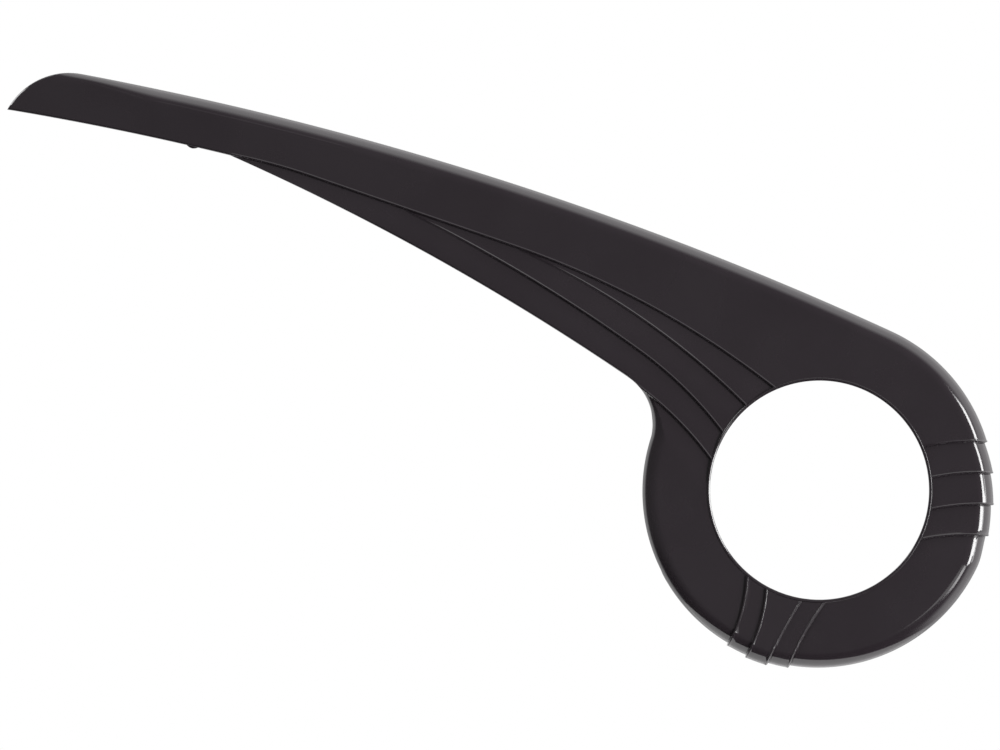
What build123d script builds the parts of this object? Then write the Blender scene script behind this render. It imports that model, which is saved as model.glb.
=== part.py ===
from build123d import *
import os
from math import atan, atan2, cos, degrees, hypot, radians, sin, tan

# Bicycle chain guard: one moulded shell, with a ring round the crank and an arm over the upper chain run.
# It is drawn as seen from outside the bicycle: x to the right, y up, z towards the viewer, the flat face
# at z = 0 and the crank axis through the origin. At the end it is turned upright, so that y becomes z and
# the bicycle lies on the +y side. Sizes are in millimetres and degrees.

# Shell: the rim is the deep flange, the lip the shallow one, and both lean outwards by the draft
wall = 2.6
rim_depth = 28.0
lip_depth = 7.0
draft = 2.0
edge_radius = 8.5
plain_edge_radius = 2.0
inner_edge_radius = 0.6

# Crank opening and the collar round it
opening_radius = 56.3
collar_width = 1.6
collar_rise = 0.4
collar_depth = 6.0
collar_edge_radius = 0.4

# Ring
ring_radius = 90.8
ring_center = (-0.7, -0.7)
top_join_angle = 65.3

# Arm: top edge, tail, lower edge, and the throat between arm and ring
top_radius = 1772.0
tail_reach = 461.2
tail_rise = 25.1
tail_radius = 36.5
tail_edge_length = 117.0
tail_edge_heading = -11.6
tail_edge_radius = 1568.0
wing_heading = -24.0
wing_radius = 1310.0
throat_radius = 28.0

# Where the rim gives way to the lip, and how it slopes towards the tail
rim_end_angle = 226.0
rim_end_slope = 35.0
rim_width = 16.0
tail_rim_depth = 9.0
tail_slope_length = 250.0

# Overlapping steps of the arm: each falls at its line and rises again over the ramp
arm_step = 1.1
arm_ramp = 13.0
arm_step_chamfer = 0.6
arm_step_foot = 0.3
arm_cut_height = 0.5
first_line_heading = -11.0
first_line_bulges = ((0.14, 6.2), (0.30, 9.9), (0.50, 14.4))
first_line_end = 113.7
second_line_heading = -23.5
second_line_end = 131.4
third_line_heading = -25.7
third_line_bulges = ((0.70, 10.5),)
third_line_end = 150.4
fourth_line_end = 166.2
straight_below = 3.5
branch_gap = 0.8
throat_gap = 1.2

# Overlapping steps on the front of the ring, evenly pitched at the opening and at the rim; the last one's
# cut reaches past the next pitch, where its tilted surface has come up to the face again
front_steps = 4
front_step = 1.35
front_step_end = 0.12
front_inner_angle = 24.3
front_inner_pitch = -16.8
front_outer_angle = 16.0
front_outer_pitch = -10.3
front_line_radius = 97.0
last_step_pitches = 1.5

# Two stacked plates at the bottom of the ring: each side has its angle at the opening, its angle at the rim
# and its radius
plate_rise = 1.25
wide_plate_sides = ((-130.9, -120.2, 82.0), (-86.6, -99.8, -130.0))
narrow_plate_sides = ((-118.6, -113.2, 84.0), (-99.4, -106.7, -220.0))

# Screw bosses behind the lower edge: how far along it, and how far in from it
boss_radius = 4.6
boss_length = 9.0
pilot_radius = 2.0
pilot_depth = 8.0
rear_boss_station = 97.0
rear_boss_inset = 3.6
front_boss_station = 5.0
front_boss_inset = 5.4

# How far a cutting shape runs past what it cuts
overrun = 6.0


def polar(center, radius, angle):
    """Point at a radius and an angle round a centre."""
    return (center[0] + radius * cos(radians(angle)), center[1] + radius * sin(radians(angle)))


def distance(start, end):
    return hypot(end[0] - start[0], end[1] - start[1])


def angle_to(start, end):
    """Heading of the way from one point to another."""
    return degrees(atan2(end[1] - start[1], end[0] - start[0]))


def circles_meet(center_a, radius_a, center_b, radius_b):
    """Where two circles cross, on the left of the way from the first centre to the second."""
    apart = distance(center_a, center_b)
    along = (apart**2 + radius_a**2 - radius_b**2) / (2 * apart)
    off = degrees(atan2((radius_a**2 - along**2) ** 0.5, along))
    return polar(center_a, radius_a, angle_to(center_a, center_b) + off)


def aside(start, end, share, bulge):
    """Point a share of the way from start to end, moved by the bulge to the left of that way."""
    heading = angle_to(start, end)
    return polar(polar(start, share * distance(start, end), heading), bulge, heading + 90)


def turn_between(center, start, end, way):
    """Angle turned round a centre from start to end: way is 1 for anticlockwise and -1 for clockwise."""
    return (way * (angle_to(center, end) - angle_to(center, start))) % 360


def swing(center, start, end, way):
    """Arc round a centre from start to end."""
    turn = turn_between(center, start, end, way)
    return CenterArc((*center, 0), distance(center, start), angle_to(center, start), way * turn)


# Centres and joints of the outline: each arc is tangent to the next, but for the tail tip and the wing root
top_center = polar(ring_center, ring_radius - top_radius, top_join_angle)
top_join = polar(ring_center, ring_radius, top_join_angle)
tail_tip = polar((0, 0), tail_reach, 180 - tail_rise)
tail_center = circles_meet(tail_tip, tail_radius, top_center, top_radius - tail_radius)
tail_crown = polar(top_center, top_radius, angle_to(top_center, tail_center))
wing_root = polar(tail_tip, tail_edge_length, tail_edge_heading)
tail_edge_center = circles_meet(wing_root, tail_edge_radius, tail_tip, tail_edge_radius)
wing_center = polar(wing_root, wing_radius, wing_heading - 90)
throat_center = circles_meet(
    wing_center, wing_radius - throat_radius, ring_center, ring_radius + throat_radius
)
wing_end = polar(throat_center, throat_radius, angle_to(wing_center, throat_center))
throat_end = polar(ring_center, ring_radius, angle_to(ring_center, throat_center))
wing_end_heading = angle_to(wing_center, wing_end) - 90


def outline():
    """The guard's outline as a flat face."""
    edges = [
        swing(tail_center, tail_tip, tail_crown, -1),
        swing(top_center, tail_crown, top_join, -1),
        swing(ring_center, top_join, throat_end, -1),
        swing(throat_center, throat_end, wing_end, 1),
        swing(wing_center, wing_end, wing_root, 1),
        swing(tail_edge_center, wing_root, tail_tip, 1),
    ]
    return make_face(Wire(edges))


def rounding(radius, depth):
    """Where the rounded edge leaves the face, its crest, and where it meets the leaning wall.

    They are measured from the outline at the back of a wall of this depth.
    """
    inset = (radius + (depth - radius) * sin(radians(draft))) / cos(radians(draft))
    center = (-inset, -radius)
    return polar(center, radius, 90), polar(center, radius, 45), polar(center, radius, draft)


def edge_section(radius, depth):
    """What the edge loses from a square block: the rounding, and below it the lean of the wall."""
    face_end, crest, wall_start = rounding(radius, depth)
    below = (overrun * tan(radians(draft)), -depth - overrun)
    top_corners = [(face_end[0], overrun), (overrun, overrun)]
    around = Polyline(face_end, *top_corners, (overrun, below[1]), below, wall_start)
    return make_face(ThreePointArc(face_end, crest, wall_start) + around)


def across(center, point, outward, level):
    """Plane across an edge at a point: x leads away from the body, and y to the viewer.

    outward is 1 where the body lies round the centre and -1 where it lies outside the circle.
    """
    way = polar((0, 0), outward, angle_to(center, point))
    return Plane((*point, level), x_dir=(*way, 0), z_dir=(way[1], -way[0], 0))


def edge_cut(center, start, turn, outward, radius, depth, level=0):
    """The edge section carried anticlockwise round a centre, from start."""
    section = across(center, start, outward, level) * edge_section(radius, depth)
    return revolve(section, Axis((*center, 0), (0, 0, 1)), turn)


def throat_cut(inset, radius, plain_radius):
    """The edge section carried round the throat, from the rim's rounding to that of the plain edge."""
    path_radius = throat_radius + inset
    start = polar(throat_center, path_radius, angle_to(throat_center, throat_end))
    end = polar(throat_center, path_radius, angle_to(throat_center, wing_end))
    sections = [
        across(throat_center, start, -1, -inset) * edge_section(radius, rim_depth - inset),
        across(throat_center, end, -1, -inset) * edge_section(plain_radius, lip_depth - inset),
    ]
    path = swing(throat_center, start, end, 1).moved(Location((0, 0, -inset)))
    return sweep(sections, path, multisection=True)


def body(inset):
    """The guard as a solid block, all its outer surfaces moved inwards by the inset."""
    radius = edge_radius - inset
    plain_radius = max(plain_edge_radius - inset, inner_edge_radius)
    block = extrude(offset(outline(), -inset) if inset else outline(), -rim_depth)
    block = Pos(0, 0, -inset) * block
    ring_start = polar(ring_center, ring_radius - inset, angle_to(ring_center, throat_end))
    ring_turn = turn_between(ring_center, throat_end, top_join, 1)
    top_start = polar(top_center, top_radius - inset, top_join_angle)
    top_turn = turn_between(top_center, top_join, tail_tip, 1) + degrees(overrun / top_radius)
    rim_cut = edge_cut(ring_center, ring_start, ring_turn, 1, radius, rim_depth - inset, -inset)
    rim_cut += edge_cut(top_center, top_start, top_turn, 1, radius, rim_depth - inset, -inset)
    rim_cut += throat_cut(inset, radius, plain_radius)
    return block - rim_cut


def plain_edge_cut():
    """The small rounding along the wing, the tail's lower edge and the tail."""
    wing_turn = turn_between(wing_center, wing_end, wing_root, 1)
    cut = edge_cut(wing_center, wing_end, wing_turn, -1, plain_edge_radius, lip_depth)
    tail_turn = turn_between(tail_edge_center, wing_root, tail_tip, 1)
    cut += edge_cut(tail_edge_center, wing_root, tail_turn, -1, plain_edge_radius, lip_depth)
    crown_turn = turn_between(tail_center, tail_crown, tail_tip, 1)
    cut += edge_cut(tail_center, tail_crown, crown_turn, 1, plain_edge_radius, lip_depth)
    return cut


def ring_disc(proud):
    """The ring's outer form as a full disc, with all its surfaces moved outwards."""
    depth = rim_depth + proud
    face_end, crest, wall_start = rounding(edge_radius + proud, depth)
    edge = ring_radius + proud
    back = (edge + overrun * tan(radians(draft)), -depth - overrun)
    face_end, crest, wall_start = [(edge + x, y) for x, y in (face_end, crest, wall_start)]
    around = Polyline(wall_start, back, (0, back[1]), (0, 0), face_end)
    section = Plane.XZ * make_face(ThreePointArc(face_end, crest, wall_start) + around)
    return Pos(*ring_center, proud) * revolve(section, Axis.Z)


def sector(first_side, second_side, back):
    """Block between two step lines of the ring, from inside the opening to outside the rim.

    A line's angles are those at which it crosses the opening's edge and the rim.
    """
    lines = []
    for inner_angle, outer_angle, radius in (first_side, second_side):
        inner = polar((0, 0), opening_radius, inner_angle)
        outer = polar(ring_center, ring_radius, outer_angle)
        ends = (outer, inner) if radius > 0 else (inner, outer)
        center = circles_meet(ends[0], abs(radius), ends[1], abs(radius))
        spare = degrees(overrun / radius)
        inner = polar(center, abs(radius), angle_to(center, inner) + spare)
        outer = polar(center, abs(radius), angle_to(center, outer) - spare)
        lines.append(RadiusArc(inner, outer, radius))
    ends = [Line(lines[0] @ end, lines[1] @ end) for end in (0, 1)]
    plan = make_face(lines + ends)
    return Pos(0, 0, overrun) * extrude(plan, -back - overrun)


def front_line(index):
    """Angle at the opening, angle at the rim and radius of a step line on the front of the ring."""
    inner_angle = front_inner_angle + index * front_inner_pitch
    outer_angle = front_outer_angle + index * front_outer_pitch
    return inner_angle, outer_angle, front_line_radius


def front_step_cut(index):
    """What one overlapping step loses: most at its upper line, next to nothing at the line below."""
    last = index == front_steps - 1
    inner_angle, outer_angle, _ = front_line(index + 1)
    hinge = polar(ring_center, ring_radius, outer_angle)
    inner = polar((0, 0), opening_radius, inner_angle)
    span = distance(hinge, polar(ring_center, ring_radius, outer_angle - front_outer_pitch))
    tilt = degrees(atan((front_step - front_step_end) / span))
    along = polar((0, 0), 1, angle_to(inner, hinge))
    disc = ring_disc(0).rotate(Axis((*hinge, 0), (0, 0, 1)), tilt)
    disc = disc.rotate(Axis((*hinge, 0), (*along, 0)), -tilt)
    sunk = 0 if last else front_step_end
    disc = Pos(-sunk * along[0], -sunk * along[1], -sunk) * disc
    lower_line = front_line(index + (last_step_pitches if last else 1))
    return sector(front_line(index), lower_line, rim_depth + overrun) - disc


def step_section():
    """What a step of the arm loses: x leads down across its line, and y to the viewer."""
    ramp_end = arm_step_foot + (arm_ramp - arm_step_foot) * (arm_step + arm_cut_height) / arm_step
    return make_face(
        Polyline(
            (-arm_step_chamfer - arm_cut_height, arm_cut_height),
            (0, -arm_step_chamfer),
            (arm_step_foot, -arm_step),
            (ramp_end, arm_cut_height),
            close=True,
        )
    )


def arm_step_cuts(start, heading, points):
    """The step section carried along a line of tangent arcs through points, and on past the last.

    Where a stretch would hardly turn, it runs straight on.
    """
    cuts = []
    for end in points:
        past_end = overrun if end is points[-1] else 0
        lower = polar((0, 0), 1, heading - 90)
        section = Plane((*start, 0), x_dir=(*lower, 0), z_dir=(lower[1], -lower[0], 0)) * step_section()
        half_turn = angle_to(start, end) - heading
        length = distance(start, end)
        if abs(half_turn) < straight_below:
            cuts.append(extrude(section, length + past_end, dir=(*polar((0, 0), 1, heading), 0)))
            start = polar(start, length, heading)
        else:
            center = polar(start, length / (2 * sin(radians(half_turn))), heading + 90)
            way = 1 if half_turn > 0 else -1
            turn = 2 * abs(half_turn) * (1 + past_end / length)
            cuts.append(revolve(section, Axis((*center, 0), (0, 0, way)), turn))
            start = end
            heading += 2 * half_turn
    return cuts


def arm_cuts():
    """The cuts of the arm's four lines: from the wing root, two branching off it, and from the throat."""
    end = polar((0, 0), opening_radius, first_line_end)
    knots = [aside(wing_root, end, share, bulge) for share, bulge in first_line_bulges]
    cuts = arm_step_cuts(wing_root, first_line_heading, knots + [end])
    start = polar(knots[2], branch_gap, second_line_heading - 90)
    cuts += arm_step_cuts(start, second_line_heading, [polar((0, 0), opening_radius, second_line_end)])
    start = polar(knots[1], branch_gap, third_line_heading - 90)
    end = polar((0, 0), opening_radius, third_line_end)
    knots = [aside(start, end, share, bulge) for share, bulge in third_line_bulges]
    cuts += arm_step_cuts(start, third_line_heading, knots + [end])
    start = polar(wing_end, throat_gap, wing_end_heading - 90)
    cuts += arm_step_cuts(start, wing_end_heading, [polar((0, 0), opening_radius, fourth_line_end)])
    return cuts


def rim_trim():
    """What the rim loses at the back: down to the lip at throat and arm, and sloping off to the tail."""
    far = tail_reach + ring_radius
    lost = rim_depth - lip_depth
    run = lost / tan(radians(rim_end_slope))
    spare = overrun / tan(radians(rim_end_slope))
    behind = -rim_depth - overrun
    side = Polyline((-spare, behind), (run, -lip_depth), (far, -lip_depth), (far, behind), close=True)
    start = polar(ring_center, ring_radius, rim_end_angle)
    along = polar((0, 0), 1, rim_end_angle - 90)
    plane = Plane((*start, 0), x_dir=(*along, 0), z_dir=(along[1], -along[0], 0))
    below = extrude(plane * make_face(side), far, both=True)
    clear = Pos(*top_center, 0) * Cylinder(top_radius - rim_width, 2 * far)
    lip_trim = below & clear
    slope = (rim_depth - tail_rim_depth) / tail_slope_length
    thick_end = tail_tip[0] + tail_slope_length + overrun / slope
    thin_end = tail_tip[0] - overrun
    thin_depth = tail_rim_depth - overrun * slope
    side = Polyline((thick_end, behind), (thin_end, -thin_depth), (thin_end, behind), close=True)
    tail_trim = extrude(Plane.XZ * make_face(side), far, both=True)
    return lip_trim, tail_trim


def boss_points():
    """Axes of the two screw bosses."""
    rear_angle = angle_to(tail_edge_center, tail_tip) - degrees(rear_boss_station / tail_edge_radius)
    front_angle = angle_to(wing_center, wing_end) + degrees(front_boss_station / wing_radius)
    rear = polar(tail_edge_center, tail_edge_radius + rear_boss_inset, rear_angle)
    front = polar(wing_center, wing_radius + front_boss_inset, front_angle)
    return rear, front


def drum(radius, top, bottom, point=(0, 0)):
    """Upright cylinder between two levels."""
    upward = (Align.CENTER, Align.CENTER, Align.MIN)
    return Pos(*point, bottom) * Cylinder(radius, top - bottom, align=upward)


def chain_guard():
    outer = body(0) - plain_edge_cut()
    outer += ring_disc(plate_rise) & sector(*wide_plate_sides, rim_depth)
    outer += ring_disc(2 * plate_rise) & sector(*narrow_plate_sides, rim_depth)
    for index in range(front_steps):
        outer -= front_step_cut(index)
    for cut in arm_cuts():
        outer -= cut
    shell = outer - body(wall)
    for trim in rim_trim():
        shell -= trim
    shell -= drum(opening_radius + collar_width / 2, overrun, -rim_depth - overrun)
    collar = drum(opening_radius + collar_width, collar_rise, -collar_depth)
    collar -= drum(opening_radius, overrun, -rim_depth)
    top_edges = collar.edges().group_by(Axis.Z)[-1]
    collar = fillet(top_edges.sort_by(SortBy.LENGTH)[0], collar_edge_radius)
    shell += collar
    boss_end = -wall - boss_length
    for point in boss_points():
        shell += drum(boss_radius, -plain_edge_radius, boss_end, point)
        shell -= drum(pilot_radius, boss_end + pilot_depth, boss_end - overrun, point)
    return Rot(90, 0, 0) * shell


os.makedirs("parts", exist_ok=True)
guard = chain_guard()
export_step(guard, "parts/chain_guard.step")
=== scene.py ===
import math

import bmesh
import bpy
import numpy as np
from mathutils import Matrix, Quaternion, Vector
from mathutils.geometry import delaunay_2d_cdt


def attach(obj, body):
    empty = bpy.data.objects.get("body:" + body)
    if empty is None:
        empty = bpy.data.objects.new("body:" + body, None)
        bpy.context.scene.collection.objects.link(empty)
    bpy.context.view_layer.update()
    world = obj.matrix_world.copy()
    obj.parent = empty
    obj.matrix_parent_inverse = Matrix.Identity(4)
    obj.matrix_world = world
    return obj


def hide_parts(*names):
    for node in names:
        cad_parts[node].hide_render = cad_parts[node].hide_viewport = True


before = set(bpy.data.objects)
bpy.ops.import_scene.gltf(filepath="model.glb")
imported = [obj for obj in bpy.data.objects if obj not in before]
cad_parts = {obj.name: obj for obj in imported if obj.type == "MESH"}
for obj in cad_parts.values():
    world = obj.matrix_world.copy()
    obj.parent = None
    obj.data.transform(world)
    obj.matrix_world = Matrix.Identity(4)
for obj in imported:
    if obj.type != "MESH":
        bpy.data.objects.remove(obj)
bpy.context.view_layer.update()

# The guard's driving sizes, in millimetres and degrees. They are the solid's, with small changes to the
# walls' lean, the plain edges, the collar, the rounding at crown and throat, the plates' sides and the front
# lines, and with a ridge along the arm. The plan is the view from outside the bicycle: its points are complex
# numbers, x to the right and the imaginary part up, with the crank axis at zero. Depth runs inwards from the
# flat face.
millimetre = 0.001
wall = 2.6
rim_depth = 28.0
lip_depth = 7.0
draft = math.radians(0.4)
edge_radius = 8.5
plain_edge_radius = 1.2
inner_edge_radius = 0.6
back_edge_radius = 0.4

opening_radius = 56.3
collar_width = 1.6
collar_rise = 0.4
collar_tilts = (17.0, 33.0, 90.0)
collar_slope_radius = 3.0
collar_edge_radius = 0.2
collar_depth = 6.0

ring_radius = 90.8
ring_center = -0.7 - 0.7j
top_join_angle = 65.3
top_radius = 1772.0
tail_reach = 461.2
tail_rise = 25.1
tail_radius = 36.5
tail_edge_length = 117.0
tail_edge_heading = -11.6
tail_edge_radius = 1568.0
wing_heading = -24.0
wing_radius = 1310.0
throat_radius = 28.0
throat_blend_start = 0.15
throat_first_share = 0.5

rim_end_angle = 226.0
rim_end_slope = 35.0
rim_width = 16.0
tail_rim_depth = 9.0
tail_slope_length = 250.0

ridge_inset = 6.7
ridge_width = 0.7
ridge_height = 0.12
ridge_start = 30.0
ridge_length = 150.0
ridge_fade = 14.0

crown_share = 0.5
crown_reach = 45.0

arm_step = 1.1
arm_ramp = 13.0
first_line_heading = -11.0
first_line_bulges = ((0.14, 6.2), (0.30, 9.9), (0.50, 14.4))
first_line_end = 113.7
second_line_heading = -23.5
second_line_end = 131.4
third_line_heading = -25.7
third_line_bulges = ((0.70, 10.5),)
third_line_end = 150.4
fourth_line_end = 166.2
straight_below = 3.5
branch_gap = 0.8
throat_gap = 1.2

front_steps = 4
front_step = 1.35
front_step_end = 0.12
front_inner_angle = 22.6
front_inner_pitch = -16.8
front_outer_angle = 16.0
front_outer_pitch = -10.3
front_line_radius = 115.0
plate_rise = 1.25
plate_overhang = 0.9
wide_plate_sides = ((-130.9, -120.2, 82.0), (-86.6, -99.8, -130.0))
narrow_plate_sides = ((-118.6, -113.2, 84.0), (-99.4, -106.7, -220.0))
overrun = 6.0

boss_radius = 4.6
boss_length = 9.0
pilot_radius = 2.0
pilot_depth = 8.0
rear_boss_station = 97.0
rear_boss_inset = 3.6
front_boss_station = 5.0
front_boss_inset = 5.4

# Section of a step: its slope from crest to foot, the groove at the foot and the bead along the crest, which
# is lower on the plates' rear sides, and how the branching lines fade in
crest_width = 0.35
foot_width = 0.15
groove_width = 0.45
groove_depth = 0.1
bead_width = 0.5
bead_height = 0.3
rear_bead_share = 0.62
fade_start = 0.6
fade_length = 3.0

# Fineness of the mesh: spacing along edges, lines and the flat face, rows across what is rounded, and margins
edge_spacing = 2.4
wing_spacing = 0.8
throat_spacing = 0.4
line_spacing = 2.0
face_spacing = 5.0
start_reach = 16.0
start_spacing = 0.35
rounding_rows = 11
ridge_rows = 7
wall_rows = 4
inner_rounding_rows = 7
ring_face_rows = 7
corner_rows = 4
collar_rows = 8
step_rows = 21
boss_sides = 48
search_points = 4000
step_clearance = 0.08
cluster_margin = 1.3
sector_margin = 2.0
open_sector_start = -160.0
least_wall = 0.3
sharp_angle = 40.0
slope_reach = 0.02
merge_distance = 0.0001
triangles_inside = 1
tiny = 0.000001

collar_radius = opening_radius + collar_width
first_offset = -2 * bead_width - crest_width - step_clearance
last_offset = foot_width + groove_width + step_clearance
step_offsets = np.linspace(first_offset, last_offset, step_rows)


def polar(center, radius, angle):
    return center + radius * np.exp(1j * np.radians(angle))


def heading(start, end):
    return np.degrees(np.angle(end - start))


def circles_meet(center_a, radius_a, center_b, radius_b):
    """Where two circles cross, on the left of the way from the first centre to the second."""
    apart = abs(center_b - center_a)
    along = (apart**2 + radius_a**2 - radius_b**2) / (2 * apart)
    off = np.degrees(np.arctan2(np.sqrt(radius_a**2 - along**2), along))
    return polar(center_a, radius_a, heading(center_a, center_b) + off)


def both_meets(circle_a, circle_b):
    """Both places where two circles, each a centre and a radius, cross."""
    return [circles_meet(*circle_a, *circle_b), circles_meet(*circle_b, *circle_a)]


def smooth(share):
    """Soft step from 0 to 1."""
    share = np.clip(share, 0, 1)
    return share * share * (3 - 2 * share)


class Edge:
    """One arc of the outline: the body lies inside the circle where side is 1, and outside where it is -1."""

    def __init__(self, center, radius, side, start, end):
        self.center = center
        self.radius = radius
        self.side = side
        self.start = start
        self.end = end
        self.corners = (None, None)
        self.start_angle = heading(center, start)
        self.turn = (side * (heading(center, end) - self.start_angle)) % 360

    def inset(self, point):
        """How far points lie inside this edge."""
        return self.side * (self.radius - abs(point - self.center))

    def share(self, point):
        """How far round the arc points lie: 0 at its start and 1 at its end."""
        away = (point - self.center) * np.exp(-1j * np.radians(self.start_angle + self.side * self.turn / 2))
        return 0.5 + self.side * np.degrees(np.angle(away)) / self.turn

    def point(self, share, inset):
        """Point at a share of the arc, moved inwards: ends that are corners move along their mitre."""
        shares = [0.0, 1.0]
        for number, neighbour in enumerate(self.corners):
            if neighbour:
                shares[number] = float(self.share(self.corner(neighbour, inset)))
        share = shares[0] + share * (shares[1] - shares[0])
        angle = self.start_angle + self.side * self.turn * share
        return polar(self.center, self.radius - self.side * inset, angle)

    def corner(self, neighbour, inset):
        """Where this edge and its neighbour meet when both are moved inwards."""
        circles = [(edge.center, edge.radius - edge.side * inset) for edge in (self, neighbour)]
        nominal = self.start if neighbour is self.corners[0] else self.end
        return min(both_meets(*circles), key=lambda meet: abs(meet - nominal))


# Centres and joints of the outline, and its six arcs in anticlockwise order
top_center = polar(ring_center, ring_radius - top_radius, top_join_angle)
top_join = polar(ring_center, ring_radius, top_join_angle)
tail_tip = polar(0, tail_reach, 180 - tail_rise)
tail_center = circles_meet(tail_tip, tail_radius, top_center, top_radius - tail_radius)
tail_crown = polar(top_center, top_radius, heading(top_center, tail_center))
wing_root = polar(tail_tip, tail_edge_length, tail_edge_heading)
tail_edge_center = circles_meet(wing_root, tail_edge_radius, tail_tip, tail_edge_radius)
wing_center = polar(wing_root, wing_radius, wing_heading - 90)
throat_center = circles_meet(
    wing_center, wing_radius - throat_radius, ring_center, ring_radius + throat_radius
)
wing_end = polar(throat_center, throat_radius, heading(wing_center, throat_center))
throat_end = polar(ring_center, ring_radius, heading(ring_center, throat_center))
throat_angle = heading(ring_center, throat_center)
wing_end_heading = heading(wing_center, wing_end) - 90

ring_edge = Edge(ring_center, ring_radius, 1, throat_end, top_join)
top_edge = Edge(top_center, top_radius, 1, top_join, tail_crown)
tail_edge = Edge(tail_center, tail_radius, 1, tail_crown, tail_tip)
low_edge = Edge(tail_edge_center, tail_edge_radius, -1, tail_tip, wing_root)
wing_edge = Edge(wing_center, wing_radius, -1, wing_root, wing_end)
throat_edge = Edge(throat_center, throat_radius, -1, wing_end, throat_end)
tail_edge.corners = (None, low_edge)
low_edge.corners = (tail_edge, wing_edge)
wing_edge.corners = (low_edge, None)


def edge_reach(radius, depth):
    """How far inside the outline a rounded and leaning edge leaves the face."""
    return (radius + (depth - radius) * math.sin(draft)) / math.cos(draft)


def edge_depth(inset, radius, depth):
    """Depth of the outer surface at an inset: the rounding, and outside it the leaning wall."""
    across = edge_reach(radius, depth) - inset
    flank = radius * math.cos(draft)
    rounded = radius - np.sqrt(radius**2 - np.clip(across, 0, flank) ** 2)
    return rounded + np.maximum(across - flank, 0) / math.tan(draft)


def lengthened(stretch):
    """A stretch carried on past its end, along its own arc."""
    start, start_heading, length, half_turn = stretch
    if half_turn == 0:
        return start, start_heading, length + overrun, 0
    longer_turn = half_turn * (1 + overrun / length)
    longer = length * math.sin(math.radians(longer_turn)) / math.sin(math.radians(half_turn))
    return start, start_heading, longer, longer_turn


def arm_line(start, start_heading, points):
    """Tangent arcs through points and on past the last, each as start, heading, length and half turn."""
    stretches = []
    for end in points:
        half_turn = heading(start, end) - start_heading
        length = abs(end - start)
        if abs(half_turn) < straight_below:
            half_turn = 0
        stretches.append((start, start_heading, length, half_turn))
        start = polar(start, length, start_heading + half_turn)
        start_heading += 2 * half_turn
    return stretches[:-1] + [lengthened(stretches[-1])]


def aside(start, end, share, bulge):
    """Point a share of the way from start to end, moved by the bulge to the left of that way."""
    return start + (end - start) * share + polar(0, bulge, heading(start, end) + 90)


def arm_lines():
    """The arm's four step lines: from the wing root, two branching off it, and from the throat."""
    end = polar(0, opening_radius, first_line_end)
    knots = [aside(wing_root, end, share, bulge) for share, bulge in first_line_bulges]
    first = arm_line(wing_root, first_line_heading, knots + [end])
    start = polar(knots[2], branch_gap, second_line_heading - 90)
    second = arm_line(start, second_line_heading, [polar(0, opening_radius, second_line_end)])
    start = polar(knots[1], branch_gap, third_line_heading - 90)
    end = polar(0, opening_radius, third_line_end)
    knots = [aside(start, end, share, bulge) for share, bulge in third_line_bulges]
    third = arm_line(start, third_line_heading, knots + [end])
    start = polar(wing_end, throat_gap, wing_end_heading - 90)
    fourth = arm_line(start, wing_end_heading, [polar(0, opening_radius, fourth_line_end)])
    return first, second, third, fourth


lines = arm_lines()
branches = lines[1:3]


def stretch_circle(stretch):
    """Centre, radius, way and start angle of a turning stretch."""
    start, start_heading, length, half_turn = stretch
    way = 1 if half_turn > 0 else -1
    radius = length / (2 * math.sin(math.radians(abs(half_turn))))
    center = polar(start, way * radius, start_heading + 90)
    return center, radius, way, heading(center, start)


def stretch_length(stretch):
    _, _, length, half_turn = stretch
    if half_turn == 0:
        return length
    return stretch_circle(stretch)[1] * math.radians(2 * abs(half_turn))


def stretch_place(stretch, point):
    """How far points lie along a stretch, and how far to its right."""
    if stretch[3] == 0:
        away = (point - stretch[0]) * np.exp(-1j * np.radians(stretch[1]))
        return away.real, -away.imag
    center, radius, way, start_angle = stretch_circle(stretch)
    middle = start_angle + stretch[3]
    away = (point - center) * np.exp(-1j * np.radians(middle))
    along = radius * (way * np.angle(away) + math.radians(abs(stretch[3])))
    return along, way * (abs(away) - radius)


def stretch_point(stretch, along, right):
    """Point at a way along a stretch and to its right."""
    if stretch[3] == 0:
        return stretch[0] + (along - 1j * right) * np.exp(1j * np.radians(stretch[1]))
    center, radius, way, start_angle = stretch_circle(stretch)
    return polar(center, radius + way * right, start_angle + way * np.degrees(along / radius))


def step_fall(right, bead_share=1):
    """How a step falls off at a distance to the low side of its line.

    Gives the share of its height that is lost, and the groove at its foot less the bead along its crest.
    """
    fall = smooth((right + crest_width) / (crest_width + foot_width))
    into_groove = smooth((right + crest_width / 2) / crest_width)
    groove = groove_depth * into_groove * (1 - smooth((right - foot_width) / groove_width))
    bead = bead_share * bead_height * np.clip(1 - abs(right + crest_width + bead_width) / bead_width, 0, 1)
    return fall, groove - bead


def arm_line_depth(point):
    """How deep the arm's steps lie under the face: a fall at each line and a long soft ramp up again.

    Along the beads the depth is negative.
    """
    deepest = np.zeros(point.shape)
    proudest = np.zeros(point.shape)
    for line in lines:
        before = 0
        for stretch in line:
            along, right = stretch_place(stretch, point)
            length = stretch_length(stretch)
            fall, besides = step_fall(right)
            depth = arm_step * fall * (1 - smooth(right / arm_ramp)) + besides
            if line in branches:
                depth = depth * smooth((before + along - fade_start) / fade_length)
            beside = (along >= -tiny) & (along <= length + tiny)
            deepest = np.where(beside, np.maximum(deepest, depth), deepest)
            proudest = np.where(beside, np.minimum(proudest, depth), proudest)
            before += length
    return deepest + proudest


def ring_line(inner_angle, outer_angle, radius, outset=0):
    """Circle of a step line on the ring, from its angles at the opening's edge and at the rim.

    A positive radius makes it bulge to the left of its way outwards, and an outset moves it to the left.
    """
    inner = polar(0, opening_radius, inner_angle)
    outer = polar(ring_center, ring_radius, outer_angle)
    ends = (outer, inner) if radius > 0 else (inner, outer)
    return circles_meet(ends[0], abs(radius), ends[1], abs(radius)), radius + outset


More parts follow.
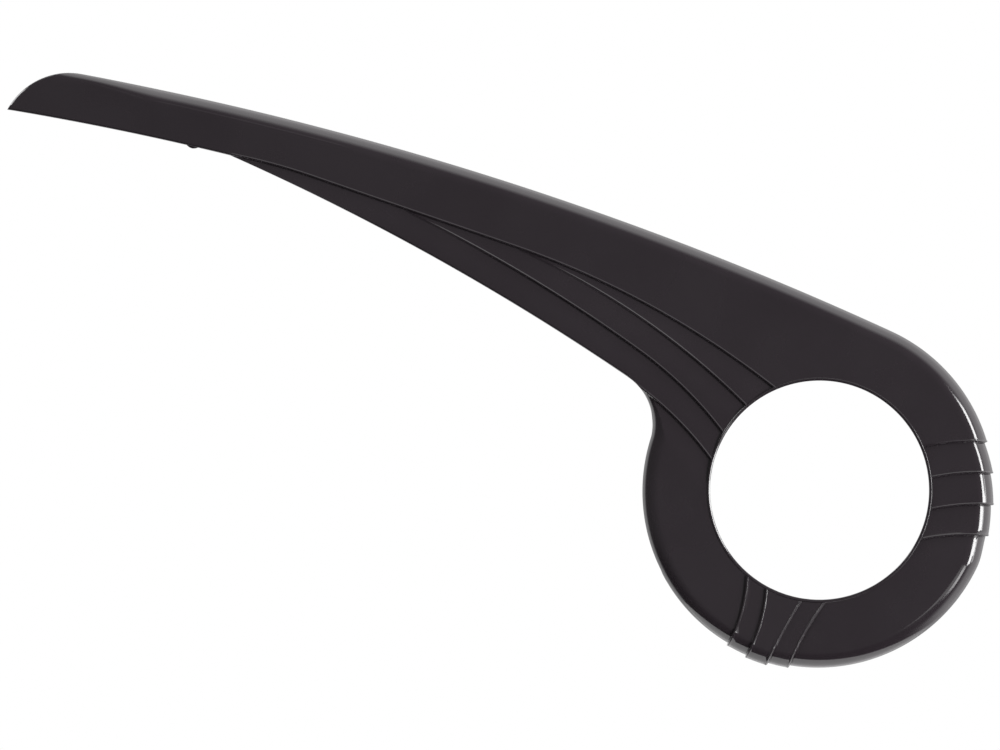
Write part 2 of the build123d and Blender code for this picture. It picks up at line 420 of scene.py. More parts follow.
def left_of(line, point):
    """How far points lie to the left of a step line's way outwards."""
    center, radius = line
    return np.sign(radius) * (abs(point - center) - abs(radius))


front_lines = [
    ring_line(
        front_inner_angle + index * front_inner_pitch,
        front_outer_angle + index * front_outer_pitch,
        front_line_radius,
    )
    for index in range(front_steps + 1)
]
plates = [
    [ring_line(*first_side, -plate_overhang), ring_line(*second_side, plate_overhang)]
    for first_side, second_side in (wide_plate_sides, narrow_plate_sides)
]
ring_lines = front_lines[:front_steps] + plates[0] + plates[1]
ring_line_angles = [front_outer_angle + index * front_outer_pitch for index in range(front_steps)]
ring_line_angles += [side[1] for side in wide_plate_sides + narrow_plate_sides]
ring_line_low_sides = [-1] * front_steps + [-1, 1, -1, 1]


def ring_offset(point):
    """How far the ring's surface is set in by its front steps, less how far its plates stand proud."""
    above = [left_of(line, point) for line in front_lines]
    falls = [step_fall(-side) for side in above]
    offset = np.zeros(point.shape)
    for index in range(front_steps):
        last = index == front_steps - 1
        span = np.clip(above[index + 1], 0, None) + np.clip(-above[index], 0, None)
        share = np.clip(above[index + 1], 0, None) / np.maximum(span, tiny)
        low_value = 0 if last else front_step_end
        value = low_value + (front_step - low_value) * (smooth(share) if last else share)
        ahead = 0 if last else falls[index + 1][0]
        offset += falls[index][0] * (1 - ahead) * value + falls[index][1]
    offset = np.where(point.real > opening_radius / 2, offset, 0)
    at_plates = point.imag < -opening_radius / 2
    for first, second in plates:
        first_fall, first_besides = step_fall(-left_of(first, point), rear_bead_share)
        second_fall, second_besides = step_fall(left_of(second, point))
        rise = plate_rise * (1 - first_fall) * (1 - second_fall) - first_besides - second_besides
        offset -= np.where(at_plates, rise, 0)
    return offset


def from_crown(point):
    """How far along the top edge points lie from its end at the tail."""
    return (1 - top_edge.share(point)) * math.radians(top_edge.turn) * top_radius


def rim_form(share):
    """Rounding and nominal depth of an edge at a share of the way from the lip's form to the rim's."""
    radius = plain_edge_radius + (edge_radius - plain_edge_radius) * share
    return radius, lip_depth + (rim_depth - lip_depth) * share


def top_share(way):
    """Share of the rim's form that the top edge has at a way from its end at the tail."""
    return 1 - (1 - crown_share) * smooth(1 - way / crown_reach)


def throat_blend(share):
    """How far the throat's edge has changed from the lip's form to the rim's, at a share of its arc."""
    return smooth((share - throat_blend_start) / (1 - throat_blend_start))


def arm_edges(point):
    """Inset, rounding and nominal depth of the top, tail and lower edges, far off where one doesn't reach.

    The tail's arc is carried on past its end as far again.
    """
    far = np.full(point.shape, tail_reach)
    tail_share = tail_edge.share(point)
    by_tail = (tail_share > 0) & (tail_share < 2)
    past_root = ((point - wing_root) * np.exp(-1j * np.radians(tail_edge_heading))).real > 0
    low_inset = np.where(past_root, wing_edge.inset(point), low_edge.inset(point))
    by_throat = throat_edge.share(point) > 0
    return (
        (top_edge.inset(point), *rim_form(top_share(from_crown(point)))),
        (np.where(by_tail, tail_edge.inset(point), far), plain_edge_radius, lip_depth),
        (np.where(by_throat, far, low_inset), plain_edge_radius, lip_depth),
    )


def throat_at(point, first_share):
    """Inset, rounding and nominal depth of the throat's edge, which starts with a share of the rim's form."""
    share = throat_edge.share(point)
    inset = np.where(share > 0, throat_edge.inset(point), tail_reach)
    return inset, *rim_form(first_share + (1 - first_share) * throat_blend(share))


def in_arm(point):
    around = np.degrees(np.angle(point - ring_center))
    return (around > top_join_angle) & (around < throat_angle)


def face_room(point):
    """How far points lie inside the place where the rounded edges leave the face."""
    edges = (*arm_edges(point), throat_at(point, 0))
    arm = np.min([inset - edge_reach(radius, depth) for inset, radius, depth in edges], axis=0)
    ring = ring_edge.inset(point) - edge_reach(edge_radius, rim_depth)
    return np.where(in_arm(point), arm, ring)


def ridge(point):
    """Height of the faint moulded line along the top of the arm's rear half."""
    way = from_crown(point)
    along = smooth((way - ridge_start) / ridge_fade) * smooth((ridge_length - way) / ridge_fade)
    across = 1 - abs(top_edge.inset(point) - ridge_inset) / ridge_width
    return ridge_height * smooth(across) * along


def front_depth(point):
    """Depth of the whole outer surface, negative where it stands proud of the face.

    The throat's edge is rounded only on the low side of the fourth line.
    """
    inset, radius, depth = throat_at(point, throat_first_share)
    proud = stretch_place(lines[3][0], point)[1] < 0
    edges = (*arm_edges(point), (np.where(proud, tail_reach, inset), radius, depth))
    arm = np.max([edge_depth(*edge) for edge in edges], axis=0) - ridge(point)
    offset = ring_offset(point)
    ring = offset + edge_depth(ring_edge.inset(point) - offset, edge_radius, rim_depth)
    base = np.where(in_arm(point), arm, ring)
    steps = arm_line_depth(point)
    return np.where(steps > 0, np.maximum(base, steps), base + steps)


def back_depth(point):
    """Depth of the rim's back edge: full round the front, the lip's at the left, sloping to the tail."""
    slope = np.clip((point.real - tail_tip.real) / tail_slope_length, 0, 1)
    sloped = tail_rim_depth + (rim_depth - tail_rim_depth) * slope
    start = polar(ring_center, ring_radius, rim_end_angle)
    past = ((point - start) * np.exp(-1j * np.radians(rim_end_angle - 90))).real
    lip = np.clip(rim_depth - past * math.tan(math.radians(rim_end_slope)), lip_depth, rim_depth)
    under_top = smooth((top_edge.inset(point) - rim_width) / back_edge_radius)
    return sloped + under_top * (np.minimum(lip, sloped) - sloped)


class Shell:
    """The guard's mesh as it grows: points in plan and depth, and faces."""

    def __init__(self):
        self.points = []
        self.faces = []

    def row(self, plan, depth):
        """Adds a row of points and gives their numbers."""
        first = len(self.points)
        depth = np.broadcast_to(depth, plan.shape)
        self.points += [(p.real, d, p.imag) for p, d in zip(plan, depth)]
        return list(range(first, len(self.points)))

    def strip(self, row_a, row_b, closed=True):
        """Quads between two rows of as many points."""
        count = len(row_a)
        for k in range(count if closed else count - 1):
            following = (k + 1) % count
            self.faces.append((row_a[k], row_a[following], row_b[following], row_b[k]))

    def fill(self, border, chains, loose, depth_of):
        """Triangles inside a border of points, with chains of further points as edges and loose points."""
        plan = [complex(self.points[n][0], self.points[n][2]) for n in border]
        edges = []
        for chain in chains:
            places = []
            for point in chain:
                if isinstance(point, int):
                    places.append(border.index(point))
                else:
                    places.append(len(plan))
                    plan.append(point)
            edges += list(zip(places, places[1:]))
        plan += list(loose)
        face = list(range(len(border)))
        flat = [(p.real, p.imag) for p in plan]
        found = delaunay_2d_cdt(flat, edges, [face], triangles_inside, merge_distance)
        verts, _, triangles, sources = found[:4]
        new = np.array([complex(*v) for v in verts])
        depth = depth_of(new)
        where = []
        for place, source in enumerate(sources):
            known = [border[n] for n in source if n < len(border)]
            if known:
                where.append(known[0])
            else:
                where.append(len(self.points))
                self.points.append((new[place].real, depth[place], new[place].imag))
        for triangle in triangles:
            self.faces.append(tuple(where[n] for n in triangle))


class Outline:
    """Samples along the whole outline, with the form of the edge at each."""

    def __init__(self):
        self.angles = self.ring_angles()
        self.ring_count = len(self.angles)
        self.samples = []
        for edge in (top_edge, tail_edge, low_edge, wing_edge, throat_edge):
            length = math.radians(edge.turn) * edge.radius
            spacing = {wing_edge: wing_spacing, throat_edge: throat_spacing}.get(edge, edge_spacing)
            count = round(length / spacing)
            self.samples += [(edge, k / count) for k in range(count)]
        self.count = self.ring_count + len(self.samples)
        self.radius, self.depth = self.forms()
        self.back = back_depth(self.plan(np.zeros(self.count), 0))
        self.reach = edge_reach(self.radius, self.depth)
        self.last_angle = self.rounding_angle(self.radius, 0)
        self.inner_radius = np.maximum(self.radius - wall, inner_edge_radius)
        self.inner_reach = wall + edge_reach(self.inner_radius, self.depth - wall)
        self.inner_angle = self.rounding_angle(self.inner_radius, wall)

    def rounding_angle(self, radius, level):
        """How far round an edge goes: to the leaning wall, or to the back where that comes first."""
        room = np.minimum(self.back - back_edge_radius - least_wall - level, radius * (1 - math.sin(draft)))
        return np.arccos(1 - room / radius)

    def ring_angles(self):
        """Angles round the ring, closer together at its step lines."""
        start = throat_angle - 360
        even = np.arange(start, top_join_angle, math.degrees(edge_spacing / ring_radius))
        cluster = np.degrees(step_offsets / ring_radius)
        places = self.line_angles(ring_center, ring_radius)
        near = math.degrees(cluster_margin * max(abs(step_offsets)) / ring_radius)
        angles = [angle for angle in even if min(abs(places - angle)) > near]
        angles = [angle for angle in angles if abs(angle - open_sector_start) > near / 2]
        for place, low_side in zip(places, ring_line_low_sides):
            angles += list(place + low_side * cluster)
        return np.array(sorted(angles + [open_sector_start]))

    def line_angles(self, center, radius):
        """Angles at which the ring's step lines cross a circle."""
        found = []
        for (middle, bend), wanted in zip(ring_lines, ring_line_angles):
            meets = both_meets((center, radius), (middle, abs(bend)))
            angles = [heading(center, meet) for meet in meets]
            found.append(min(angles, key=lambda angle: abs((angle - wanted + 180) % 360 - 180)))
        return np.array(found)

    def ring_columns(self, center, radius):
        """Angles of the ring's samples on a circle, following the slant of the step lines."""
        outside = self.line_angles(ring_center, ring_radius)
        order = np.argsort(outside)
        before = [throat_angle - 360, open_sector_start]
        known = np.concatenate([before, outside[order], [top_join_angle]])
        moved = np.concatenate([before, self.line_angles(center, radius)[order], [top_join_angle]])
        return np.interp(self.angles, known, moved)

    def plan(self, insets, columns_inset):
        """Plan points of all samples at their insets."""
        angles = self.ring_columns(ring_center, ring_radius - columns_inset)
        ring = polar(ring_center, ring_radius - insets[: self.ring_count], angles)
        samples = zip(self.samples, insets[self.ring_count :])
        return np.concatenate([ring, [edge.point(share, inset) for (edge, share), inset in samples]])

    def forms(self):
        """Rounding radius and nominal depth of the edge at each sample."""
        shares = []
        crown_end = math.sqrt(2 * edge_reach(*rim_form(crown_share)) * tail_radius)
        for edge, share in self.samples:
            travelled = share * math.radians(edge.turn) * edge.radius
            rim_share = {
                top_edge: top_share(math.radians(edge.turn) * edge.radius - travelled),
                tail_edge: crown_share * (1 - smooth(travelled / crown_end)),
                throat_edge: throat_blend(share),
            }
            shares.append(float(rim_share.get(edge, 0)))
        return rim_form(np.concatenate([np.ones(self.ring_count), shares]))


def outer_side(shell, outline):
    """Rows of the outer side, from where the edges leave the face, over the rounding, to the back edge."""
    rows = []
    limit = outline.back - back_edge_radius
    ridge_sides = [edge_reach(edge_radius, rim_depth) - ridge_inset + side * ridge_width for side in (-1, 1)]
    ridge_shares = np.arcsin(np.array(ridge_sides) / edge_radius) / (math.pi / 2)
    shares = np.append(np.linspace(0, 1, rounding_rows), np.linspace(*ridge_shares, ridge_rows))
    for share in np.sort(shares):
        insets = outline.reach - outline.radius * np.sin(outline.last_angle * share)
        offset = ring_offset(outline.plan(insets, insets[0]))
        offset[outline.ring_count :] = 0
        plan = outline.plan(insets + offset, insets[0])
        depth = np.minimum(front_depth(plan), limit - least_wall)
        rows.append(shell.row(plan, depth))
    for share in np.linspace(0, 1, wall_rows + 1)[1:]:
        deeper = (limit - depth) * share
        wall_insets = insets + offset - deeper * math.tan(draft)
        rows.append(shell.row(outline.plan(wall_insets, insets[0]), depth + deeper))
    for angle in np.linspace(0, math.pi / 2, corner_rows)[1:]:
        corner_insets = wall_insets + back_edge_radius * (1 - math.cos(angle))
        corner_depth = limit + back_edge_radius * math.sin(angle)
        rows.append(shell.row(outline.plan(corner_insets, insets[0]), corner_depth))
    return rows


def inner_side(shell, outline):
    """Rows of the inner side, from the back edge, up the wall, to where the inner face begins."""
    rows = []
    limit = outline.back - back_edge_radius
    radius = outline.inner_radius
    first_inset = outline.inner_reach - radius * np.sin(outline.inner_angle)
    first_depth = wall + radius * (1 - np.cos(outline.inner_angle))
    low_inset = first_inset - (limit - first_depth) * math.tan(draft)
    for angle in np.linspace(math.pi / 2, 0, corner_rows)[:-1]:
        insets = low_inset - back_edge_radius * (1 - math.cos(angle))
        rows.append(shell.row(outline.plan(insets, 0), limit + back_edge_radius * math.sin(angle)))
    for share in np.linspace(0, 1, wall_rows + 1)[:-1]:
        insets = low_inset + (first_inset - low_inset) * share
        rows.append(shell.row(outline.plan(insets, 0), limit + (first_depth - limit) * share))
    for share in np.linspace(1, 0, inner_rounding_rows):
        angle = outline.inner_angle * share
        insets = outline.inner_reach - radius * np.sin(angle)
        rows.append(shell.row(outline.plan(insets, 0), wall + radius * (1 - np.cos(angle))))
    return rows


def line_chains():
    """Chains of points along the arm's step lines, from where each is clear of the edges to the opening."""
    chains = []
    for line in lines:
        for right in step_offsets:
            chain = []
            before = 0
            for stretch in line:
                length = stretch_length(stretch)
                count = max(2, round(length / line_spacing))
                along = np.linspace(0, length, count + 1)[:-1]
                points = stretch_point(stretch, along, right)
                clear = face_room(points) > step_clearance
                if line in branches:
                    clear &= before + along > fade_start
                chain += [point for point, keep in zip(points, clear) if keep]
                before += length
            fine = stretch_point(line[-1], np.linspace(0, length, search_points), right)
            end = fine[np.argmax(abs(fine) < collar_radius)]
            chain = [point for point in chain if abs(point) > collar_radius + line_spacing / 2]
            chains.append(chain + [collar_radius * end / abs(end)])
    return chains


def face_points(chains):
    """Loose points over the arm's flat face, clear of edges, lines and opening, dense where lines begin."""
    row_height = face_spacing * math.sqrt(3) / 2
    points = []
    for row, up in enumerate(np.arange(-ring_radius, tail_reach / 2, row_height)):
        shift = face_spacing / 2 * (row % 2)
        points += [complex(x + shift, up) for x in np.arange(-tail_reach, ring_radius, face_spacing)]
    points = np.array(points)
    around = np.degrees(np.angle(points)) % 360
    keep = (face_room(points) > face_spacing / 3) & (abs(points) > collar_radius + face_spacing / 3)
    keep &= around > top_join_angle + sector_margin
    keep &= around < open_sector_start + 360 - sector_margin
    points = points[keep]
    taken = np.array([point for chain in chains for point in chain])
    apart = np.array([min(abs(taken - point)) for point in points])
    points = points[apart > line_spacing / 2]
    steps = np.arange(-start_reach, start_reach, start_spacing)
    for line in (lines[0], lines[3]):
        dense = (line[0][0] + steps[:, None] + 1j * steps).ravel()
        dense = dense[face_room(dense) > start_spacing / 2]
        apart = np.array([min(abs(taken - point)) for point in dense])
        points = np.append(points, dense[apart > start_spacing / 2])
    return points


def build_shell():
    """The guard without its bosses, as one closed mesh."""
    shell = Shell()
    outline = Outline()
    outer = outer_side(shell, outline)
    inner = inner_side(shell, outline)
    rows = outer + inner
    for row_a, row_b in zip(rows, rows[1:]):
        shell.strip(row_a, row_b)

    # The ring's face, in rows from the rounding to the collar
    first_column = int(np.argmin(abs(outline.angles - open_sector_start)))
    columns = slice(first_column, outline.ring_count + 1)
    edge_inset = edge_reach(edge_radius, rim_depth)
    face_rows = [outer[0][columns]]
    for share in np.linspace(0, 1, ring_face_rows + 1)[1:]:
        center = ring_center * (1 - share)
        radius = (ring_radius - edge_inset) * (1 - share) + collar_radius * share
        angles = np.append(outline.ring_columns(center, radius)[first_column:], top_join_angle)
        plan = polar(center, radius, angles)
        face_rows.append(shell.row(plan, front_depth(plan)))
    for row_a, row_b in zip(face_rows, face_rows[1:]):
        shell.strip(row_b, row_a, closed=False)

    # The rest of the face, between the ring's face rows, the edges and the opening
    chains = line_chains()
    spacing = math.degrees(edge_spacing / collar_radius)
    even = np.arange(top_join_angle + spacing, open_sector_start + 360 - spacing / 2, spacing)
    ends = np.array([heading(0, chain[-1]) for chain in chains]) % 360
    even = even[[min(abs(ends - angle)) > spacing / 3 for angle in even]]
    arm_opening = polar(0, collar_radius, np.sort(np.concatenate([even, ends])))
    arm_row = shell.row(arm_opening, front_depth(arm_opening))
    opening = face_rows[-1] + arm_row
    for chain in chains:
        chain[-1] = arm_row[int(np.argmin(abs(arm_opening - chain[-1])))]
    border = outer[0][outline.ring_count :] + outer[0][: first_column + 1]
    border += [row[0] for row in face_rows[1:]] + arm_row[::-1] + [row[-1] for row in face_rows[:0:-1]]
    shell.fill(border, chains, face_points([chain[:-1] for chain in chains]), front_depth)

    # The collar, from the face over its rounded top and down to the back of the face
    around = np.array([complex(shell.points[n][0], shell.points[n][2]) for n in opening]) / collar_radius
    profile = []
    for angle in np.linspace(0, math.pi / 2, collar_rows)[1:]:
        outside = collar_radius - collar_rise
        profile.append((outside + collar_rise * math.cos(angle), -collar_rise * math.sin(angle)))
    tilts = [math.radians(tilt) for tilt in collar_tilts]
    bends = list(zip((collar_slope_radius, collar_edge_radius), tilts, tilts[1:]))
    radius = opening_radius + sum(bend * (math.sin(last) - math.sin(first)) for bend, first, last in bends)
    depth = -collar_rise
    for bend, first, last in bends:
        for tilt in np.linspace(first, last, collar_rows):
            inwards = bend * (math.sin(tilt) - math.sin(first))
            profile.append((radius - inwards, depth + bend * (math.cos(first) - math.cos(tilt))))
        radius, depth = profile.pop()
    profile += [(opening_radius, collar_depth), (collar_radius, collar_depth), (collar_radius, wall)]
    collar = [opening] + [shell.row(around * radius, depth) for radius, depth in profile]
    for row_a, row_b in zip(collar, collar[1:]):
        shell.strip(row_b, row_a)

    # The inner face
    back = collar[-1]
    shell.strip(inner[-1][columns], back[: len(face_rows[0])], closed=False)
    border = inner[-1][outline.ring_count :] + inner[-1][: first_column + 1]
    border += [back[0]] + back[: len(face_rows[0]) - 2 : -1]
    shell.fill(border, [], [], lambda point: np.full(point.shape, wall))
    return shell


def mesh_object(name, points, faces):
    mesh = bpy.data.meshes.new(name)
    mesh.from_pydata([tuple(millimetre * value for value in point) for point in points], [], faces)
    item = bpy.data.objects.new(name, mesh)
    bpy.context.scene.collection.objects.link(item)
    form = bmesh.new()
    form.from_mesh(mesh)
    bmesh.ops.recalc_face_normals(form, faces=form.faces)
    form.to_mesh(mesh)
    form.free()
    return item


def drums(name, radius, top, bottom):
    """Cylinders on the axes of both screw bosses."""
    rear_angle = heading(tail_edge_center, tail_tip) - math.degrees(rear_boss_station / tail_edge_radius)
    front_angle = heading(wing_center, wing_end) + math.degrees(front_boss_station / wing_radius)
    centers = [
        polar(tail_edge_center, tail_edge_radius + rear_boss_inset, rear_angle),
        polar(wing_center, wing_radius + front_boss_inset, front_angle),
    ]
    drum = Shell()
    for center in centers:
        plan = polar(center, radius, np.arange(boss_sides) * 360 / boss_sides)
        ends = [drum.row(plan, top), drum.row(plan, bottom)]
        drum.strip(*ends)
        drum.faces += [tuple(ends[0]), tuple(ends[1])]
    return mesh_object(name, drum.points, drum.faces)


def apply_modifiers(item):
    """Gives an object the mesh that its modifiers make."""
    ready = item.evaluated_get(bpy.context.evaluated_depsgraph_get())
    item.data = bpy.data.meshes.new_from_object(ready)
    item.modifiers.clear()


def read(values, name, width):
    """An attribute of many mesh elements, as rows of numbers."""
    found = np.empty(len(values) * width, dtype=np.float32)
    values.foreach_get(name, found)
    return found.reshape(-1, width)


def shade_smooth(mesh):
    """Smooth shading with the true normals of the outer surface, and flat ones on the inner face."""
    mesh.polygons.foreach_set("use_smooth", np.ones(len(mesh.polygons), dtype=bool))
    mesh.set_sharp_from_angle(angle=math.radians(sharp_angle))
    normals = read(mesh.corner_normals, "vector", 3)
    corner_vertex = np.array([loop.vertex_index for loop in mesh.loops])
    corner_face = np.repeat(np.arange(len(mesh.polygons)), [face.loop_total for face in mesh.polygons])
    place = read(mesh.vertices, "co", 3).astype(float) / millimetre
    facing = read(mesh.polygons, "normal", 3)[corner_face]
    plan = place[:, 0] + 1j * place[:, 2]

    slopes = []
    for way in (1, 1j):
        rise = front_depth(plan + way * slope_reach) - front_depth(plan - way * slope_reach)
        slopes.append(rise / (2 * slope_reach))
    true_normals = np.stack([slopes[0], -np.ones(len(plan)), slopes[1]], axis=1)
    true_normals /= np.linalg.norm(true_normals, axis=1)[:, None]
    on_front = abs(front_depth(plan) - place[:, 1]) < slope_reach
    use_true = on_front[corner_vertex] & (facing[:, 1] < 0)
    normals[use_true] = true_normals[corner_vertex][use_true]

    inner_corners = facing[:, 1] > 1 - tiny
    inner_vertices = np.unique(corner_vertex[inner_corners])
    nearly_flat = facing[:, 1] > math.cos(math.radians(sharp_angle))
    normals[np.isin(corner_vertex, inner_vertices) & nearly_flat] = (0, 1, 0)
    mesh.normals_split_custom_set(normals)


def chain_guard():
    """The whole guard: the shell with its two bosses and their pilot holes."""
    shell = build_shell()
    guard = mesh_object("guard_shell", shell.points, shell.faces)
    boss_end = wall + boss_length
    tools = [
        (drums("bosses", boss_radius, plain_edge_radius, boss_end), "UNION"),
        (drums("pilot_holes", pilot_radius, boss_end - pilot_depth, boss_end + overrun), "DIFFERENCE"),
    ]
    for tool, operation in tools:
        modifier = guard.modifiers.new(operation.lower(), "BOOLEAN")
        modifier.operation = operation
        modifier.solver = "EXACT"
        modifier.object = tool
    apply_modifiers(guard)
    for tool, _ in tools:
        bpy.data.objects.remove(tool)
    shade_smooth(guard.data)
    return guard


# Finish: black plastic with faint flow marks in its colour, patchy gloss, specks of dust and an uneven skin
darker_black = (0.0212, 0.0163, 0.0200, 1)
lighter_black = (0.0244, 0.0194, 0.0233, 1)
dust_grey = (0.065, 0.061, 0.0585, 1)
refraction = 1.65
flow_scale = 14.0
flow_detail = 4
flow_range = (0.35, 0.65)
gloss_scale = 55.0
gloss_detail = 5
gloss_range = (0.35, 0.7)
least_roughness = 0.075
most_roughness = 0.13
dust_scale = 48.0
dust_size = 0.016
grain_scale = 1100.0
grain_detail = 2
grain_height = 0.0000025
wave_scale = 16.0
wave_detail = 1
wave_height = 0.00006


def ramp(tree, value, low, high, level=1.0, first_level=0.0):
    """A level that comes in softly over a first level as a value goes from low to high."""
    node = tree.nodes.new("ShaderNodeMapRange")
    node.interpolation_type = "SMOOTHSTEP"
    node.inputs["From Min"].default_value = low
    node.inputs["From Max"].default_value = high
    node.inputs["To Min"].default_value = first_level
    node.inputs["To Max"].default_value = level
    tree.links.new(value, node.inputs["Value"])
    return node.outputs["Result"]


def noise(tree, place, scale, detail):
    node = tree.nodes.new("ShaderNodeTexNoise")
    node.inputs["Scale"].default_value = scale
    node.inputs["Detail"].default_value = detail
    tree.links.new(place, node.inputs["Vector"])
    return node.outputs["Fac"]


def blended(tree, share, first, second):
    """Colour that goes from a first to a second, each a colour or a node's output."""
    node = tree.nodes.new("ShaderNodeMix")
    node.data_type = "RGBA"
    tree.links.new(share, node.inputs["Factor"])
    for name, colour in (("A", first), ("B", second)):
        socket = next(s for s in node.inputs if s.name == name and s.type == "RGBA")
        if isinstance(colour, tuple):
            socket.default_value = colour
        else:
            tree.links.new(colour, socket)
    return next(s for s in node.outputs if s.type == "RGBA")


def bumped(tree, height, distance, normal=None):
    node = tree.nodes.new("ShaderNodeBump")
    node.inputs["Distance"].default_value = distance
    tree.links.new(height, node.inputs["Height"])
    if normal:
        tree.links.new(normal, node.inputs["Normal"])
    return node.outputs["Normal"]


def black_plastic():
    material = bpy.data.materials.new("black_plastic")
    material.use_nodes = True
    tree = material.node_tree
    shader = tree.nodes["Principled BSDF"]
    shader.inputs["IOR"].default_value = refraction
    place = tree.nodes.new("ShaderNodeTexCoord").outputs["Object"]

    specks = tree.nodes.new("ShaderNodeTexVoronoi")
    specks.inputs["Scale"].default_value = dust_scale
    tree.links.new(place, specks.inputs["Vector"])
    dust = ramp(tree, specks.outputs["Distance"], dust_size, dust_size / 2)
    flow = ramp(tree, noise(tree, place, flow_scale, flow_detail), *flow_range)
    colour = blended(tree, flow, darker_black, lighter_black)
    tree.links.new(blended(tree, dust, colour, dust_grey), shader.inputs["Base Color"])

    gloss = noise(tree, place, gloss_scale, gloss_detail)
    roughness = ramp(tree, gloss, *gloss_range, most_roughness, least_roughness)
    tree.links.new(roughness, shader.inputs["Roughness"])

    waves = bumped(tree, noise(tree, place, wave_scale, wave_detail), wave_height)
    skin = bumped(tree, noise(tree, place, grain_scale, grain_detail), grain_height, waves)
    tree.links.new(skin, shader.inputs["Normal"])
    return material


guard = chain_guard()
guard.data.materials.clear()
guard.data.materials.append(black_plastic())
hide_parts("chain_guard")
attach(guard, "root")

# Camera: square to the face, as the photo is taken
picture_width = 0.514
picture_center_x = -0.1643
picture_center_z = 0.0592
lens = 800.0
sensor = 36.0
camera = bpy.data.objects.new("camera", bpy.data.cameras.new("camera"))
camera.data.lens = lens
camera.data.sensor_width = sensor
camera.location = (picture_center_x, -picture_width * lens / sensor, picture_center_z)
camera.rotation_euler = (math.pi / 2, 0, 0)
bpy.context.scene.collection.objects.link(camera)
bpy.context.scene.camera = camera

bpy.context.scene.view_settings.view_transform = "Standard"

# Studio: white to the camera. To reflections it is bright behind, less so straight behind, and above and to
# the right from a little in front of the guard's plane; towards the camera it is dim, and dimmer below.
dim_level = 0.046
glow_level = 0.131
surround_level = 1.92
back_level = 1.52
straight_back_share = 0.55
surround_tilt = math.radians(30)
surround_range = (-0.7, -0.15)
sideways_range = (0.0, 0.35)
behind_range = (0.12, 0.42)
straight_back_range = (0.6, 0.85)
glow_range = (-0.5, -0.15)
dim_range = (0.5, 0.2)


def combine(tree, operation, first, second):
    node = tree.nodes.new("ShaderNodeMath")
    node.operation = operation
    tree.links.new(first, node.inputs[0])
    tree.links.new(second, node.inputs[1])
    return node.outputs[0]


def studio_level(tree):
    """How bright the studio is in each direction."""
    direction = tree.nodes.new("ShaderNodeTexCoord").outputs["Generated"]
    parts = tree.nodes.new("ShaderNodeSeparateXYZ")
    tree.links.new(direction, parts.inputs[0])
    _, to_back, to_top = parts.outputs
    sideways = tree.nodes.new("ShaderNodeVectorMath")
    sideways.operation = "DOT_PRODUCT"
    sideways.inputs[1].default_value = (math.cos(surround_tilt), 0, math.sin(surround_tilt))
    tree.links.new(direction, sideways.inputs[0])
    surround = ramp(tree, to_back, *surround_range, surround_level)
    to_side = ramp(tree, sideways.outputs["Value"], *sideways_range)
    surround = combine(tree, "MULTIPLY", surround, to_side)
    behind = ramp(tree, to_back, *behind_range, back_level)
    bright = combine(tree, "MAXIMUM", surround, behind)
    straight_back = ramp(tree, to_back, *straight_back_range, straight_back_share, 1.0)
    bright = combine(tree, "MULTIPLY", bright, straight_back)
    glow = ramp(tree, to_top, *glow_range, glow_level)
    glow = combine(tree, "ADD", glow, ramp(tree, to_back, *dim_range, dim_level))
    return combine(tree, "ADD", bright, glow)


def studio_world():
    world = bpy.data.worlds.new("studio")
    world.use_nodes = True
    tree = world.node_tree
    seen = tree.nodes["Background"]
    seen.inputs["Color"].default_value = (1, 1, 1, 1)
    lit = tree.nodes.new("ShaderNodeBackground")
    tree.links.new(studio_level(tree), lit.inputs["Strength"])
    mix = tree.nodes.new("ShaderNodeMixShader")
    tree.links.new(tree.nodes.new("ShaderNodeLightPath").outputs["Is Camera Ray"], mix.inputs["Fac"])
    tree.links.new(lit.outputs[0], mix.inputs[1])
    tree.links.new(seen.outputs[0], mix.inputs[2])
    tree.links.new(mix.outputs[0], tree.nodes["World Output"].inputs["Surface"])
    return world


def area_lamp(name, place, width, height, radiance, target=(0, 0, 0), shape="RECTANGLE", turn=0.0):
    """Lamp that looks from a place at a target, turned about that line and out of the camera's sight."""
    lamp = bpy.data.lights.new(name, "AREA")
    lamp.shape = shape
    lamp.size = width
    lamp.size_y = height
    area = width * height * (1 if shape == "RECTANGLE" else math.pi / 4)
    lamp.energy = math.pi * area * radiance
    item = bpy.data.objects.new(name, lamp)
    item.location = place
    looking = (Vector(target) - Vector(place)).to_track_quat("-Z", "Y")
    item.rotation_euler = (looking @ Quaternion((0, 0, 1), turn)).to_euler()
    item.visible_camera = False
    bpy.context.scene.collection.objects.link(item)


def to_right(off_axis, level):
    """Place of a lamp at an angle off the camera's line to the right."""
    angle = math.radians(off_axis)
    return lamp_distance * math.sin(angle), -lamp_distance * math.cos(angle), level


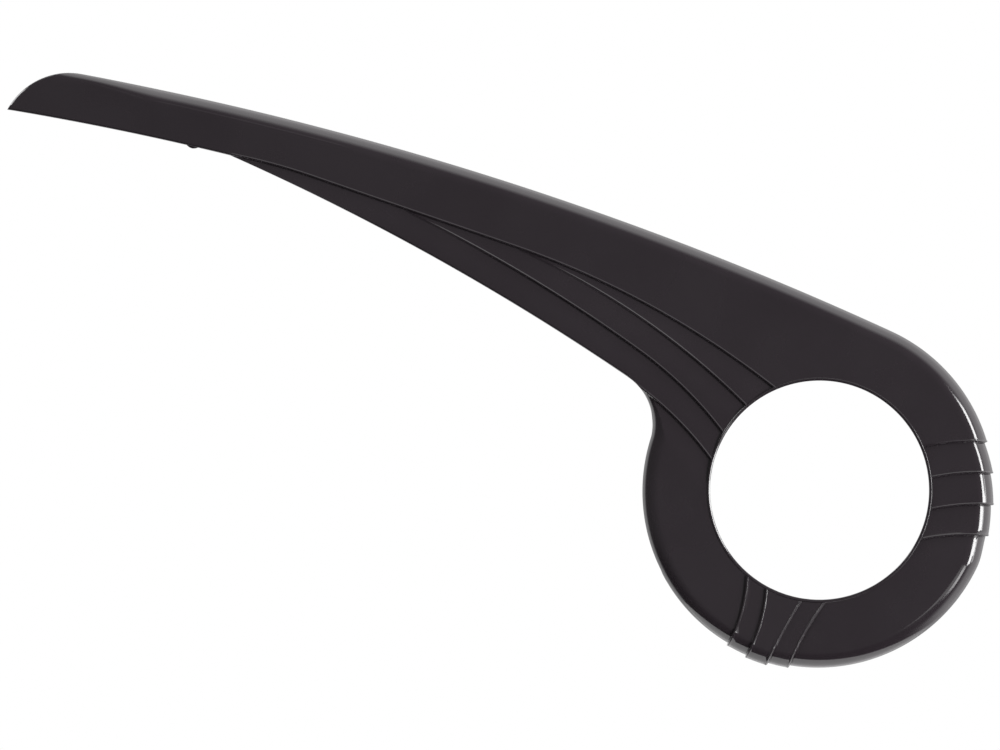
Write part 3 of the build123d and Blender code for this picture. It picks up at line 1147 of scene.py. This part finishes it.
lamp_distance = 3.0
low_turn = math.radians(-21)
bounce_place = (-0.07, 0.235, -0.39)
bounce_target = (bounce_place[0], bounce_place[1], 0)
bounce_size = 0.784
bounce_radiance = 0.478

# Floor: a pale disc under the guard, below the picture
floor_height = -0.40
floor_sides = 128
floor_colour = (0.85, 0.85, 0.85, 1)
floor_roughness = 0.8


def floor_disc():
    rim = polar(complex(*bounce_place[:2]), bounce_size / 2, np.arange(floor_sides) * 360 / floor_sides)
    mesh = bpy.data.meshes.new("floor")
    mesh.from_pydata([(p.real, p.imag, floor_height) for p in rim], [], [tuple(range(floor_sides))])
    material = bpy.data.materials.new("floor_white")
    material.use_nodes = True
    shader = material.node_tree.nodes["Principled BSDF"]
    shader.inputs["Base Color"].default_value = floor_colour
    shader.inputs["Roughness"].default_value = floor_roughness
    mesh.materials.append(material)
    item = bpy.data.objects.new("floor", mesh)
    bpy.context.scene.collection.objects.link(item)


bpy.context.scene.world = studio_world()

# Lamps: a tall strip far off to the right, a short one beside it, a softer one further round, a broad one
# high at the left by the guard's plane, a small faint one high in front for the arm, two weak ones low at the
# right, and a round panel that throws light up from the floor
area_lamp("strip_lamp", to_right(off_axis=48.5, level=0.2), width=0.72, height=2.3, radiance=15.5)
area_lamp("short_lamp", (2.565, -1.545, 0.12), width=0.42, height=0.7, radiance=13.3)
area_lamp("side_lamp", to_right(off_axis=66, level=-0.05), width=0.5, height=1.7, radiance=4.33)
area_lamp("left_lamp", (-2.4, -0.2, 1.9), width=2.8, height=0.9, radiance=7.26, target=(-0.4, 0, 0.2))
area_lamp("arm_lamp", (-0.01, -2.67, 1.5), width=0.16, height=0.1, radiance=0.385, target=(-0.32, 0, 0.17))
area_lamp("low_lamp", (1.6, -2.4, -0.98), width=0.8, height=0.34, radiance=5.4, turn=low_turn)
area_lamp("faint_lamp", (0.86, -2.8, -0.63), width=0.9, height=0.32, radiance=1.23, turn=low_turn)
area_lamp("bounce_panel", bounce_place, bounce_size, bounce_size, bounce_radiance, bounce_target, "DISK")
floor_disc()
